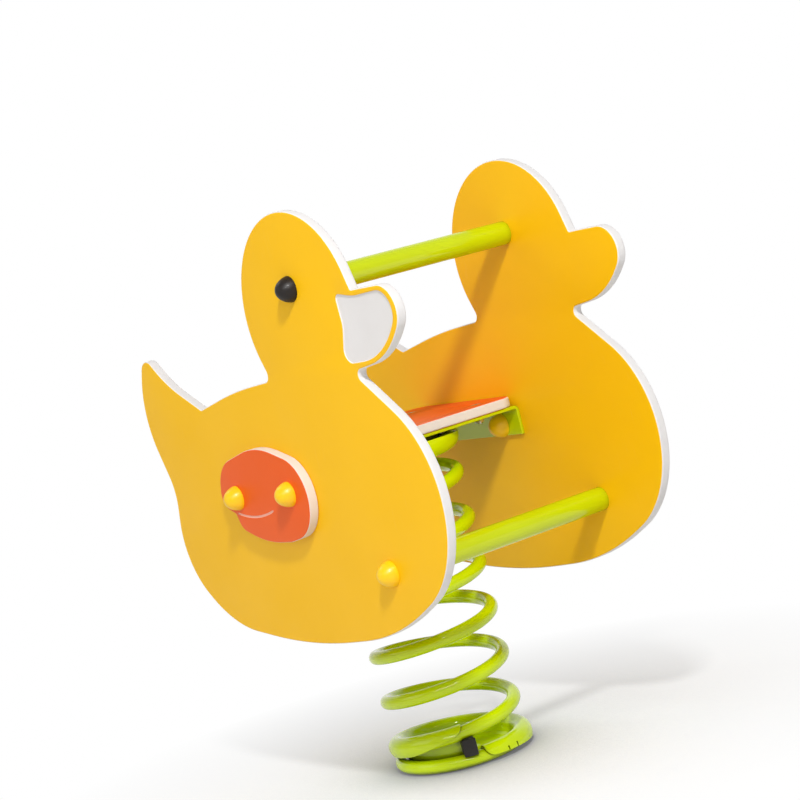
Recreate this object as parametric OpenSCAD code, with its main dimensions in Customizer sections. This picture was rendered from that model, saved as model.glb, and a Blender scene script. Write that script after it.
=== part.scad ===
// Spring rider in the shape of a duck: two side panels carry a seat, a handle bar and a foot bar,
// and the seat frame between them stands on one large coil spring that is bolted to the ground.
// Millimetres. X points the way the rider faces, Y to the rider's left, Z up.
// The origin lies on the ground, on the axis of the spring.

/* [Side panels] */
// Clear width between the two side panels
panel_gap = 350; // [310:1:400]
// Thickness of a side panel
panel_t = 15; // [12:1:20]
// Radius of the rounded panel edges
panel_edge_r = 3; // [1:0.5:4]
// Depth of the pocket that bares the white core at the beak
pocket_depth = 2; // [0.5:0.5:4]

/* [Wing plates] */
// Thickness of a wing plate
wing_t = 15; // [10:1:20]
// Radius of the rounded wing edges
wing_edge_r = 2; // [1:0.5:3]
// Width of the curved groove
groove_w = 3; // [2:0.5:5]
// Depth of the curved groove
groove_depth = 1.5; // [0.5:0.5:3]

/* [Seat] */
// Height of the seat above the ground
seat_top = 488; // [450:1:530]
// Thickness of the seat plate
seat_t = 15; // [12:1:20]
// Length of the seat plate, front to back
seat_len = 250; // [230:1:290]
// Distance from the spring axis to the front edge of the seat
seat_front = 98; // [85:1:110]
// Corner radius of the seat plate
seat_corner_r = 25; // [10:1:40]
// Radius of the rounded seat edges
seat_edge_r = 3; // [1:0.5:4]
// Gap between the seat plate and each side panel
seat_side_gap = 2; // [1:0.5:5]

/* [Seat frame] */
// Thickness of the folded sheet
frame_t = 5; // [4:0.5:8]
// Length of the frame, front to back
frame_len = 235; // [210:1:260]
// Distance of the frame's middle behind the spring axis
frame_back = 22; // [0:1:40]
// Height of the folded side flanges
flange_h = 43; // [38:1:60]
// Distance between the two bolts of a flange
bolt_pitch = 144; // [110:1:160]
// Inner radius of the folds
bend_r = 3; // [2:1:8]
// Distance between the seat bolts, front to back
seat_bolt_dx = 170; // [150:1:190]
// Distance between the seat bolts, left to right
seat_bolt_dy = 250; // [230:1:280]

/* [Bars] */
// Outer diameter of the handle bar and the foot bar
bar_d = 33.7; // [28:0.1:42]
// Wall of the bars
bar_wall = 2.9; // [2:0.1:4]
// Distance of the handle bar ahead of the frame's middle
handle_ahead = 183; // [165:1:200]
// Height of the handle bar above the frame's bolts
handle_up = 272; // [250:1:300]
// Distance of the foot bar ahead of the frame's middle
foot_ahead = 254; // [235:1:275]
// Drop of the foot bar below the frame's bolts
foot_down = 119; // [100:1:135]
// Length of the threaded plug in each end of a bar
plug_len = 25; // [20:1:40]

/* [Spring] */
// Diameter of the spring wire
wire_d = 20; // [16:0.5:22]
// Diameter of the coil at the middle of the wire
coil_d = 180; // [150:1:200]
// Number of turns, from end to end of the wire
turns = 8; // [6:0.5:9]
// Turns that lie flat at each end
flat_turns = 0.18; // [0.1:0.01:0.25]
// Turns over which the climb grows to its full pitch
ramp_turns = 1; // [0.8:0.05:1.1]
// Direction in plan in which the wire starts
start_angle = 225; // [0:5:355]

/* [Spring clamps] */
// Thickness of the pressed clamp
clamp_t = 4; // [3:0.5:6]
// Number of bolts in a clamp
clamp_bolts = 4; // [3:1:6]
// Angle from the end of the wire to the first bolt of a clamp
clamp_bolt_angle = 22.5; // [15:2.5:30]
// Hole in the middle of a clamp
centre_hole_d = 40; // [20:1:60]
// Height of the cone between the floor of a clamp and its wall
bowl_h = 12; // [6:1:16]
// Width of that cone
bowl_w = 9; // [5:1:12]
// Angle from the end of the wire to the start of the rim, in steps of the wire's rings
rim_start = 120; // [120:15:165]
// Angle over which the rim follows the wire to its tip, in steps of the wire's rings
rim_sweep = 345; // [270:15:345]
// Turn of the wire at which the stop block sits
stop_at = 0.3; // [0.29:0.01:0.31]
// Width of the stop block along the wire
stop_w = 20; // [16:1:26]
// Thickness of the stop block's lip outside the wire
stop_lip = 4; // [2:0.5:6]

/* [Caps and fasteners] */
// Diameter of a bolt cap
cap_d = 36; // [34:1:44]
// Height of a bolt cap
cap_h = 21; // [19:1:28]
// Wall of a bolt cap
cap_wall = 2.5; // [1.5:0.5:3]
// Height of the cup that a bolt cap snaps onto
cup_h = 4; // [3:0.5:5]
// Floor of the cup under the bolt head
cup_floor = 3; // [2:0.5:4]
// Wall of the cup round the bolt head
cup_wall = 2; // [1:0.5:3]
// Thread of the panel bolts
bolt_d = 10; // [8:1:10]
// Thread of the seat bolts
seat_bolt_d = 8; // [6:1:10]
// Thread of the clamp studs and of the ground bolts
stud_d = 12; // [10:1:14]

/* [Clearances] */
// Clearance round a bolt in its hole
hole_clear = 0.5; // [0.3:0.1:1]
// Clearance round a ground bolt in its hole
ground_hole_clear = 1; // [0.8:0.1:1.5]
// Clearance between pieces that seat on curved faces
seat_fit = 0.3; // [0.2:0.1:0.5]
// Clearance between the wire and the rim of a clamp
rim_fit = 0.6; // [0.5:0.1:0.9]
// Room between a nut cap and the fold of the frame above it
cap_room = 1; // [0.5:0.5:4]
// Room between a washer and the cone of a clamp
washer_room = 1.4; // [0.5:0.1:4]
// Clearance round a thread in its nut
thread_fit = 0.1; // [0.05:0.05:0.2]

/* [Hidden] */
$fn = 64;

// Colours as photographed
yellow = [0.97, 0.75, 0.18];
red = [0.92, 0.38, 0.15];
green = [0.72, 0.80, 0.13];
black = [0.16, 0.14, 0.13];
steel = [0.72, 0.73, 0.75];

// Outlines are belts laid round circles, counter-clockwise as seen from the rider's right. Each circle is
// [forward, up, radius], measured from the middle of the frame's bolts; a hollow has a negative radius.
// Side panel: neck, back, tail notch, tail top, tail tip, tail, waist, rump, belly (three circles),
// chest, throat, lower beak, beak tip, brow and head.
duck_circles = [[59, 165, -13], [68, -681, 832], [-139, 138, -11], [-78, 374, -248], [-273, 193, 18],
    [-172, 125, 139], [-369, 9, -86], [-185, -62, 110], [-113, 5, 208], [40, 830, 1046], [118, 220, 432],
    [257, -26, 150], [302, 144, -11], [314, 277, 120], [381, 219, 31.5], [326, 257, -6], [186, 239, 133]];
// Beak pocket: upper corner, cheek, lower corner, underside, tip and top
pocket_circles = [[293, 244, 8], [244, 218, -42], [290, 177, 16], [312, 274, 113], [378, 219.5, 27.5],
    [334, 346, -100]];
// Wing plate: top, shoulder, rear lobe, notch, lower corner, underside, lower front and front
wing_circles = [[1, -92, 157], [-62, 2, 52], [-94, 4, 21], [-89, -24, -3], [-62, -28, 21], [20, 156, 222],
    [42, -1, 65], [60, -6, 57]];
// Curved groove of the wing plate: middle of its arc, radius and half angle
groove_mid = [-31, 155];
groove_r = 184;
groove_half_angle = 16;
// Greatest distance between an arc and the straight steps that stand for it
arc_tolerance = 0.25;
// Steps of a rounded edge
edge_steps = 2;

// Places that follow from the sizes
frame_x = -frame_back;
frame_top = seat_top - seat_t;
frame_under = frame_top - frame_t;
bolt_z = frame_under - bend_r - cap_d / 2 - cap_room;
inner_y = panel_gap / 2;
outer_y = inner_y + panel_t;
wing_y = outer_y + wing_t;
flange_y = inner_y - frame_t;
handle_at = [handle_ahead, handle_up];
foot_at = [foot_ahead, -foot_down];
frame_bolts_at = [[-bolt_pitch / 2, 0], [bolt_pitch / 2, 0]];
panel_bolts_at = concat(frame_bolts_at, [handle_at, foot_at]);
sides = [-1, 1];

// Standard proportions of hexagon heads, nuts and washers, from the thread
function hex_r(d) = 0.95 * d;
function head_h(d) = 0.64 * d;
function nut_h(d) = 0.8 * d;
function washer_r(d) = d;
function washer_t(d) = 0.2 * d;
// Length of thread that shows past a nut
thread_end = 2.5;

// Belt round circles: the direction of the straight run that follows circle i
function run_angle(c, i) =
    let (a = c[i], b = c[(i + 1) % len(c)], d = [b[0] - a[0], b[1] - a[1]])
    atan2(d[1], d[0]) - asin((b[2] - a[2]) / norm(d));
function full_turn(a) = a - 360 * floor(a / 360);
function turn_at(c, i) =
    let (t = run_angle(c, i) - run_angle(c, (i + len(c) - 1) % len(c)))
    c[i][2] > 0 ? full_turn(t) : -full_turn(-t);
function arc_steps(r, turn) = max(1, ceil(abs(turn) / (2 * acos(1 - arc_tolerance / abs(r)))));
// Points of the belt, moved outwards by grow
function belt(c, grow = 0) = [
    for (i = [0 : len(c) - 1])
        let (turn = turn_at(c, i), from = run_angle(c, i) - turn,
            steps = arc_steps(c[i][2], turn), r = c[i][2] + grow)
            for (k = [0 : steps])
                let (a = from + turn * k / steps)
                    [c[i][0] + r * sin(a), c[i][1] - r * cos(a)]
];

// Triangles that fill a counter-clockwise outline p, cut off one corner at a time
function cross2(a, b, c) = (b[0] - a[0]) * (c[1] - a[1]) - (b[1] - a[1]) * (c[0] - a[0]);
function holds(a, b, c, q) = cross2(a, b, q) >= 0 && cross2(b, c, q) >= 0 && cross2(c, a, q) >= 0;
function is_ear(p, ids, i) =
    let (n = len(ids), a = p[ids[(i + n - 1) % n]], b = p[ids[i]], c = p[ids[(i + 1) % n]])
    cross2(a, b, c) > 0 && len([for (k = [2 : n - 2]) if (holds(a, b, c, p[ids[(i + k) % n]])) k]) == 0;
function next_ear(p, ids, i) = is_ear(p, ids, i) ? i : next_ear(p, ids, (i + 1) % len(ids));
function fill(p, ids, from = 0, done = []) =
    let (n = len(ids), i = n > 3 ? next_ear(p, ids, from % n) : 0)
    n == 3 ? concat(done, [ids]) :
    fill(p, [for (k = [0 : n - 1]) if (k != i) ids[k]], i + 1,
        concat(done, [[ids[(i + n - 1) % n], ids[i], ids[(i + 1) % n]]]));

// Triangles between one ring of n points and the next, and over the first and the last ring
function skin(rings, n, ends) = concat(
    [for (k = [0 : rings - 2], i = [0 : n - 1]) [k * n + i, k * n + (i + 1) % n, (k + 1) * n + (i + 1) % n]],
    [for (k = [0 : rings - 2], i = [0 : n - 1]) [k * n + i, (k + 1) * n + (i + 1) % n, (k + 1) * n + i]],
    [for (e = ends) [e[2], e[1], e[0]]],
    [for (e = ends, last = (rings - 1) * n) [e[0] + last, e[1] + last, e[2] + last]]);

// Plate with rounded edges: the belt is the edge of its flat faces, and it is t thick from Y = 0 along +Y
module plate(circles, t, edge_r) {
    quarter = [for (k = [0 : edge_steps]) 90 * k / edge_steps];
    levels = concat(
        [for (a = quarter) [edge_r * (1 - cos(a)), edge_r * sin(a)]],
        [for (k = [edge_steps : -1 : 0]) [t - edge_r * (1 - cos(quarter[k])), edge_r * sin(quarter[k])]]);
    flat = belt(circles);
    ends = fill(flat, [for (i = [0 : len(flat) - 1]) i]);
    rings = [for (l = levels) [for (p = belt(circles, l[1])) [p[0], l[0], p[1]]]];
    polyhedron([for (r = rings) each r], skin(len(rings), len(flat), ends), convexity = 8);
}

// Prism over a belt, from Y = 0 along +Y
module prism(circles, t) {
    translate([0, t, 0])
        rotate([90, 0, 0])
            linear_extrude(t)
                polygon(belt(circles));
}

// Puts children at the middle of the frame's bolts
module at_frame() {
    translate([frame_x, 0, bolt_z])
        children();
}

// Puts children at [forward, up] from the frame's bolts and y from the middle, with +Z pointing outwards
module facing_out(at, y, side) {
    translate([frame_x + at[0], side * y, bolt_z + at[1]])
        rotate([-90 * side, 0, 0])
            children();
}

// The same with +Z pointing to the middle
module facing_in(at, y, side) {
    translate([frame_x + at[0], side * y, bolt_z + at[1]])
        rotate([90 * side, 0, 0])
            children();
}

module left_or_right(side) {
    if (side > 0) children();
    else mirror([0, 1, 0]) children();
}

// Side panels and wing plates
module panel(side) {
    difference() {
        left_or_right(side)
            at_frame()
                translate([0, inner_y, 0])
                    plate(duck_circles, panel_t, panel_edge_r);
        left_or_right(side)
            at_frame()
                translate([0, outer_y - pocket_depth, 0])
                    prism(pocket_circles, 2 * pocket_depth);
        for (at = panel_bolts_at)
            facing_out(at, inner_y - 1, side)
                cylinder(h = panel_t + 2, r = bolt_d / 2 + hole_clear);
    }
}

module groove() {
    rotate([-90, 0, 0])
        rotate([0, 0, 90 - groove_half_angle])
            rotate_extrude(angle = 2 * groove_half_angle)
                translate([groove_r - groove_w / 2, 0])
                    square([groove_w, 2 * groove_depth]);
}

module wing(side) {
    difference() {
        left_or_right(side)
            at_frame()
                difference() {
                    translate([0, outer_y, 0])
                        plate(wing_circles, wing_t, wing_edge_r);
                    translate([groove_mid[0], wing_y - groove_depth, groove_mid[1]])
                        groove();
                }
        for (at = frame_bolts_at)
            facing_out(at, outer_y - 1, side)
                cylinder(h = wing_t + 2, r = bolt_d / 2 + hole_clear);
    }
}

module right_panel() {
    color(yellow)
        panel(-1);
}

module left_panel() {
    color(yellow)
        panel(1);
}

module right_wing() {
    color(red)
        wing(-1);
}

module left_wing() {
    color(red)
        wing(1);
}

// Seat plate with four countersunk bolts
seat_bolt_head = 0.55 * seat_bolt_d;
seat_bolt_head_r = 1.05 * seat_bolt_d;
seat_bolt_recess = 0.3;

// Length over which seat and frame lie on each other, and its middle
shared_rear = max(seat_front - seat_len, frame_x - frame_len / 2);
shared_front = min(seat_front, frame_x + frame_len / 2);
seat_bolt_x = (shared_rear + shared_front) / 2;

module at_seat_bolts() {
    for (x = [-1, 1], y = [-1, 1])
        translate([seat_bolt_x + x * seat_bolt_dx / 2, y * seat_bolt_dy / 2, seat_top - seat_bolt_recess])
            children();
}

module countersink(clear) {
    translate([0, 0, -seat_bolt_head])
        cylinder(h = seat_bolt_head, r1 = seat_bolt_d / 2 + clear, r2 = seat_bolt_head_r + clear);
}

module seat_plate() {
    half_w = inner_y - seat_side_gap - seat_edge_r - seat_corner_r;
    front = seat_front - seat_edge_r - seat_corner_r;
    rear = seat_front - seat_len + seat_edge_r + seat_corner_r;
    corners = [for (p = [[front, half_w], [rear, half_w], [rear, -half_w], [front, -half_w]])
        [p[0], p[1], seat_corner_r]];
    color(red)
        difference() {
            translate([0, 0, frame_top])
                rotate([90, 0, 0])
                    plate(corners, seat_t, seat_edge_r);
            at_seat_bolts() {
                countersink(thread_fit);
                cylinder(h = 2, r = seat_bolt_head_r + thread_fit);
                translate([0, 0, -seat_t - 1])
                    cylinder(h = seat_t, r = seat_bolt_d / 2 + hole_clear);
            }
        }
}

// Frame: one sheet folded down along both side panels
module arch(w, h, r) {
    translate([-w / 2, 0])
        square([w, h - r]);
    translate([-w / 2 + r, 0])
        square([w - 2 * r, h]);
    for (s = sides)
        translate([s * (w / 2 - r), h - r])
            circle(r);
}

module seat_frame() {
    color(green)
        difference() {
            translate([frame_x - frame_len / 2, 0, frame_top - flange_h])
                rotate([90, 0, 90])
                    linear_extrude(frame_len)
                        difference() {
                            arch(panel_gap, flange_h, bend_r + frame_t);
                            translate([0, -1])
                                arch(panel_gap - 2 * frame_t, flange_h - frame_t + 1, bend_r);
                        }
            for (side = sides, at = frame_bolts_at)
                facing_out(at, flange_y - 1, side)
                    cylinder(h = frame_t + 2, r = bolt_d / 2 + hole_clear);
            at_seat_bolts()
                translate([0, 0, -seat_t - frame_t - 1])
                    cylinder(h = frame_t + 2, r = seat_bolt_d / 2 + hole_clear);
        }
}

module seat_bolts() {
    shank = seat_t - seat_bolt_recess + frame_t + nut_h(seat_bolt_d) + thread_end;
    color(steel)
        at_seat_bolts() {
            countersink(0);
            translate([0, 0, -shank])
                cylinder(h = shank - seat_bolt_head, r = seat_bolt_d / 2);
        }
}

module hex_nut(d) {
    difference() {
        cylinder(h = nut_h(d), r = hex_r(d), $fn = 6);
        translate([0, 0, -1])
            cylinder(h = nut_h(d) + 2, r = d / 2 + thread_fit);
    }
}

module seat_nuts() {
    color(steel)
        at_seat_bolts()
            translate([0, 0, seat_bolt_recess - seat_t - frame_t - nut_h(seat_bolt_d)])
                hex_nut(seat_bolt_d);
}

// Bars: a tube between the panels with a threaded plug in each end
module bar(at) {
    facing_out(at, -inner_y, 1)
        difference() {
            cylinder(h = panel_gap, d = bar_d);
            translate([0, 0, -1])
                cylinder(h = panel_gap + 2, d = bar_d - 2 * bar_wall);
        }
}

module bar_plugs(at) {
    for (side = sides)
        facing_in(at, inner_y, side)
            difference() {
                cylinder(h = plug_len, r = bar_d / 2 - bar_wall - thread_fit);
                translate([0, 0, -1])
                    cylinder(h = plug_len + 2, r = bolt_d / 2 + thread_fit);
            }
}

module handle_bar() {
    color(green)
        bar(handle_at);
}

module handle_bar_plugs() {
    color(steel)
        bar_plugs(handle_at);
}

module foot_bar() {
    color(green)
        bar(foot_at);
}

module foot_bar_plugs() {
    color(steel)
        bar_plugs(foot_at);
}

// Panel bolts, each with its head in a cup under a cap
module hex_bolt(d, shank) {
    cylinder(h = head_h(d), r = hex_r(d), $fn = 6);
    translate([0, 0, -shank])
        cylinder(h = shank, r = d / 2);
}

module bar_bolts(at) {
    for (side = sides)
        facing_out(at, outer_y + cup_floor, side)
            hex_bolt(bolt_d, cup_floor + panel_t + plug_len - thread_end);
}

module handle_bolts() {
    color(steel)
        bar_bolts(handle_at);
}

module foot_bolts() {
    color(steel)
        bar_bolts(foot_at);
}

module frame_bolts() {
    shank = 2 * cup_floor + wing_t + panel_t + frame_t + nut_h(bolt_d) + thread_end;
    color(steel)
        for (side = sides, at = frame_bolts_at)
            facing_out(at, wing_y + cup_floor, side)
                hex_bolt(bolt_d, shank);
}

module frame_nuts() {
    color(steel)
        for (side = sides, at = frame_bolts_at)
            facing_in(at, flange_y - cup_floor, side)
                hex_nut(bolt_d);
}

// Cap: the top of an ellipse outside, which leans in from its foot, and a dome over the cup inside
cap_steps = 12;
cap_cut_angle = 12;

// Top of an ellipse above the angle cut, of radius r at its foot and height h
function dome(r, h, cut) = [for (k = [0 : cap_steps])
    let (a = cut + (90 - cut) * k / cap_steps)
        [r * cos(a) / cos(cut), h * (sin(a) - sin(cut)) / (1 - sin(cut))]];

module cap() {
    inner_r = cap_d / 2 - cap_wall;
    inner = dome(inner_r, cap_h - cap_wall - cup_h, 0);
    rotate_extrude()
        polygon(concat(
            dome(cap_d / 2, cap_h, cap_cut_angle),
            [for (k = [cap_steps : -1 : 0]) [inner[k][0], inner[k][1] + cup_h]],
            [[inner_r, 0]]));
}

module cup() {
    outer_r = cap_d / 2 - cap_wall - seat_fit;
    difference() {
        cylinder(h = cup_h, r = outer_r);
        translate([0, 0, -1])
            cylinder(h = cup_h + 2, r = bolt_d / 2 + hole_clear);
        translate([0, 0, cup_floor])
            cylinder(h = cup_h, r = outer_r - cup_wall);
    }
}

module eye_caps() {
    color(black)
        for (side = sides)
            facing_out(handle_at, outer_y, side)
                cap();
}

module eye_cap_cups() {
    color(black)
        for (side = sides)
            facing_out(handle_at, outer_y, side)
                cup();
}

module foot_caps() {
    color(yellow)
        for (side = sides)
            facing_out(foot_at, outer_y, side)
                cap();
}

module foot_cap_cups() {
    color(yellow)
        for (side = sides)
            facing_out(foot_at, outer_y, side)
                cup();
}

module wing_caps() {
    color(yellow)
        for (side = sides, at = frame_bolts_at)
            facing_out(at, wing_y, side)
                cap();
}

module wing_cap_cups() {
    color(yellow)
        for (side = sides, at = frame_bolts_at)
            facing_out(at, wing_y, side)
                cup();
}

module nut_caps() {
    color(yellow)
        for (side = sides, at = frame_bolts_at)
            facing_in(at, flange_y, side)
                cap();
}

module nut_cap_cups() {
    color(yellow)
        for (side = sides, at = frame_bolts_at)
            facing_in(at, flange_y, side)
                cup();
}

// Spring: the wire lies flat at each end, and its climb grows over the ramp to the full pitch
ground_clear = 0.5;
spring_h = frame_under;
wire_r = wire_d / 2;
coil_r = coil_d / 2;
first_z = wire_r + ground_clear;
climbing_turns = turns - 2 * flat_turns - ramp_turns;
pitch = (spring_h - 2 * first_z) / climbing_turns;
rings_per_turn = 24;
wire_sides = 12;

function climb(t) =
    t < flat_turns ? 0 :
    t < flat_turns + ramp_turns ? pow(t - flat_turns, 2) / (2 * ramp_turns) :
    t - flat_turns - ramp_turns / 2;
function wire_z(t) = first_z + pitch * (t < turns / 2 ? climb(t) : climbing_turns - climb(turns - t));
function wire_rate(t) = pitch * max(0, min(1, (min(t, turns - t) - flat_turns) / ramp_turns));
function wire_angle(t) = start_angle + 360 * t;
function wire_mid(t) = [coil_r * cos(wire_angle(t)), coil_r * sin(wire_angle(t)), wire_z(t)];
// Point on the wire at angle s of its round section, which starts on the outside and turns upwards
function wire_point(t, s) =
    let (a = wire_angle(t), slope = atan(wire_rate(t) / (2 * PI * coil_r)),
        out = [cos(a), sin(a), 0],
        up = [sin(a) * sin(slope), -cos(a) * sin(slope), cos(slope)])
    wire_mid(t) + wire_r * (cos(s) * out + sin(s) * up);

// Least gap between one turn and the next, on points half a ring apart
gap_step = 1 / (2 * rings_per_turn);
gap_points = [for (t = [0 : gap_step : turns]) wire_mid(t)];
half_turn = round(0.5 / gap_step);
least_gap = min([for (i = [0 : len(gap_points) - half_turn - 1], j = [i + half_turn : len(gap_points) - 1])
    norm(gap_points[j] - gap_points[i])]) - wire_d;

module spring() {
    echo(least_gap_between_turns = least_gap);
    rings = round(turns * rings_per_turn) + 1;
    points = [for (k = [0 : rings - 1], i = [0 : wire_sides - 1])
        wire_point(turns * k / (rings - 1), 360 * i / wire_sides)];
    ends = [for (i = [1 : wire_sides - 2]) [0, i, i + 1]];
    color(green)
        polyhedron(points, skin(rings, wire_sides, ends), convexity = 10);
}

// Clamp: a pressed dish, whose rim climbs with the wire and wraps over it to a pointed tip
rim_steps = 8;
wall_r = coil_r - wire_r - rim_fit - clamp_t / 2;
clamp_pcd = 2 * (wall_r - bowl_w - washer_r(stud_d) - washer_room);
rim_begin = round(rim_start * rings_per_turn / 360) / rings_per_turn;
rim_end = rim_begin + round(rim_sweep * rings_per_turn / 360) / rings_per_turn;
// Lowest angle that the rim covers on the outside of the wire, at its start, along the rim and at its tip
rim_first = -15;
rim_low = -50;
rim_tip = 35;
// Turns over which the rim widens from its start and narrows to its tip
rim_widening = 0.16;
rim_taper = 2 / rings_per_turn;
// Steps over which it narrows
tip_steps = 12;

function rim_edge(t) =
    let (widened = min(1, (t - rim_begin) / rim_widening), narrowed = max(0, 1 - (rim_end - t) / rim_taper))
    rim_first + (rim_low - rim_first) * widened + (rim_tip - rim_low) * pow(narrowed, 2.5);
// Section of the rim at a ring of the wire, with its edge at angle e: upper side of its arc, foot of its wall
// inside the floor, under side of its arc
function rim_arc(t, e, r) = [for (k = [0 : rim_steps])
    let (s = e + (180 - e) * k / rim_steps)
        [coil_r + r * cos(s), wire_z(t) + r * sin(s)]];
function rim_section(t, e) =
    let (under = wire_r + rim_fit, over = under + clamp_t, arc = rim_arc(t, e, under))
    [for (p = concat(rim_arc(t, e, over), [[coil_r - over, clamp_t / 2], [coil_r - under, clamp_t / 2]],
        [for (k = [rim_steps : -1 : 0]) arc[k]]))
        [p[0] * cos(wire_angle(t)), p[0] * sin(wire_angle(t)), p[1]]];
// The same between two rings, where the wire runs straight from one to the next
function rim_between(t) =
    let (ring = floor(t * rings_per_turn + 0.001), part = t * rings_per_turn - ring,
        a = rim_section(ring / rings_per_turn, rim_edge(t)))
    part < 0.001 ? a : a + part * (rim_section((ring + 1) / rings_per_turn, rim_edge(t)) - a);

module rim() {
    turns_at = concat(
        [for (t = [rim_begin : 1 / rings_per_turn : rim_end - rim_taper + 0.001]) t],
        [for (k = [1 : tip_steps]) rim_end - rim_taper * (1 - k / tip_steps)]);
    sections = [for (t = turns_at) rim_between(t)];
    n = len(sections[0]);
    ends = [for (k = [0 : n / 2 - 2]) each [[k, k + 1, n - 2 - k], [k, n - 2 - k, n - 1 - k]]];
    polyhedron([for (p = sections) each p], skin(len(sections), n, ends), convexity = 10);
}

// Two slits free a tab near the start of the rim
slit_w = 1.5;
slits_at = [0.063, 0.09];
module slits() {
    for (t = slits_at)
        rotate([0, 0, wire_angle(rim_begin + t)])
            translate([coil_r + wire_r * cos(45), -slit_w / 2, -1])
                cube([wire_r + clamp_t, slit_w, wire_z(rim_begin + t) + wire_r / 2 + 1]);
}

module clamp(bolt_clear) {
    difference() {
        union() {
            rim();
            // The floor and the bowl start in the gap between the two ends of the rim
            rotate([0, 0, wire_angle(rim_end + 0.5 / rings_per_turn)]) {
                cylinder(h = clamp_t, r = coil_r - wire_r);
                rotate_extrude()
                    polygon([[wall_r - bowl_w, clamp_t / 2], [wall_r + clamp_t / 4, clamp_t / 2],
                        [wall_r + clamp_t / 4, clamp_t + bowl_h], [wall_r, clamp_t + bowl_h]]);
            }
        }
        slits();
        translate([0, 0, -1])
            cylinder(h = clamp_t + 2, d = centre_hole_d);
        at_clamp_bolts()
            translate([0, 0, -1])
                cylinder(h = clamp_t + 2, r = stud_d / 2 + bolt_clear);
    }
}

module at_clamp_bolts() {
    for (k = [0 : clamp_bolts - 1])
        rotate([0, 0, start_angle + clamp_bolt_angle + 360 * k / clamp_bolts])
            translate([clamp_pcd / 2, 0, 0])
                children();
}

// Stop block: fills the gap between the first turn and the next, with a lip outside the wire
module stop_block() {
    low = wire_z(stop_at) + wire_r + seat_fit;
    high = wire_z(stop_at + 1) - wire_r - seat_fit - wire_rate(stop_at + 1) * stop_w / (4 * PI * coil_r);
    lip_in = coil_r + wire_r + seat_fit;
    lip_up = wire_r / 4;
    rotate([0, 0, wire_angle(stop_at)])
        translate([0, -stop_w / 2, 0]) {
            translate([coil_r - wire_r, 0, low])
                cube([lip_in - coil_r + wire_r, stop_w, high - low]);
            translate([lip_in, 0, low - lip_up])
                cube([stop_lip, stop_w, high - low + 2 * lip_up]);
        }
}

// Turns a piece of the lower end of the spring over to the upper end
module to_upper_end() {
    axis = start_angle + 180 * turns;
    translate([0, 0, spring_h])
        rotate(180, [cos(axis), sin(axis), 0])
            children();
}

module lower_clamp() {
    color(green)
        clamp(ground_hole_clear);
}

module lower_stop() {
    color(black)
        stop_block();
}

module upper_clamp() {
    color(green)
        to_upper_end()
            clamp(hole_clear);
}

module upper_stop() {
    color(black)
        to_upper_end()
            stop_block();
}

// Studs under the frame hold the upper clamp
module clamp_studs() {
    color(steel)
        to_upper_end()
            at_clamp_bolts()
                cylinder(h = clamp_t + washer_t(stud_d) + nut_h(stud_d) + thread_end, r = stud_d / 2);
}

module clamp_washers() {
    color(steel)
        to_upper_end()
            at_clamp_bolts()
                translate([0, 0, clamp_t])
                    difference() {
                        cylinder(h = washer_t(stud_d), r = washer_r(stud_d));
                        translate([0, 0, -1])
                            cylinder(h = washer_t(stud_d) + 2, r = stud_d / 2 + hole_clear);
                    }
}

module clamp_nuts() {
    color(steel)
        to_upper_end()
            at_clamp_bolts()
                translate([0, 0, clamp_t + washer_t(stud_d)])
                    hex_nut(stud_d);
}

right_panel();
left_panel();
right_wing();
left_wing();
seat_plate();
seat_frame();
handle_bar();
handle_bar_plugs();
handle_bolts();
eye_caps();
eye_cap_cups();
foot_bar();
foot_bar_plugs();
foot_bolts();
foot_caps();
foot_cap_cups();
frame_bolts();
frame_nuts();
wing_caps();
wing_cap_cups();
nut_caps();
nut_cap_cups();
seat_bolts();
seat_nuts();
upper_clamp();
upper_stop();
clamp_studs();
clamp_washers();
clamp_nuts();
spring();
lower_clamp();
lower_stop();
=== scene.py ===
"""Looks of the spring rider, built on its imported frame.

Pieces are written in millimetres and made in metres. Materials, light and camera are in metres.
"""

import math
from contextlib import contextmanager

import bmesh
import bpy
from mathutils import Matrix, Vector
from mathutils.geometry import delaunay_2d_cdt


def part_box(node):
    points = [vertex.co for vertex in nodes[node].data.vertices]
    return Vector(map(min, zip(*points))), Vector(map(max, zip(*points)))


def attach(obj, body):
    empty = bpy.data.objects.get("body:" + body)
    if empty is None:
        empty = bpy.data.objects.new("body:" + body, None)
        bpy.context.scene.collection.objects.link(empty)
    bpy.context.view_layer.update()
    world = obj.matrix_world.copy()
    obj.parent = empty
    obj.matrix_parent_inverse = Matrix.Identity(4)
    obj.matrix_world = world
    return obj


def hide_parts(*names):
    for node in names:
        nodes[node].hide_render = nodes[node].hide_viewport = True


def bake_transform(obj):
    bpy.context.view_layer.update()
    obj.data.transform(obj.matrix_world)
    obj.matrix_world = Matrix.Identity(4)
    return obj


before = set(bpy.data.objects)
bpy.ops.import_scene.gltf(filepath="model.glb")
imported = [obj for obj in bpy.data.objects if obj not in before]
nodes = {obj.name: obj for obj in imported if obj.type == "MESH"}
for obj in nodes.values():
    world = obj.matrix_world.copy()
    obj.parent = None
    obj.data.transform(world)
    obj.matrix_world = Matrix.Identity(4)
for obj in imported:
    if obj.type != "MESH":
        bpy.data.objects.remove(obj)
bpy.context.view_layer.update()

MM = 0.001
X, Y, Z = 0, 1, 2
SIDES = (-1, 1)  # right and left


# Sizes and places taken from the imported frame

def reach(node, axis):
    """Lowest and highest place of a CAD node along an axis, to a hundredth of a millimetre."""
    low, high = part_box(node)
    return round(low[axis] / MM, 2), round(high[axis] / MM, 2)


def middle(node, axis):
    return sum(reach(node, axis)) / 2


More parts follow.
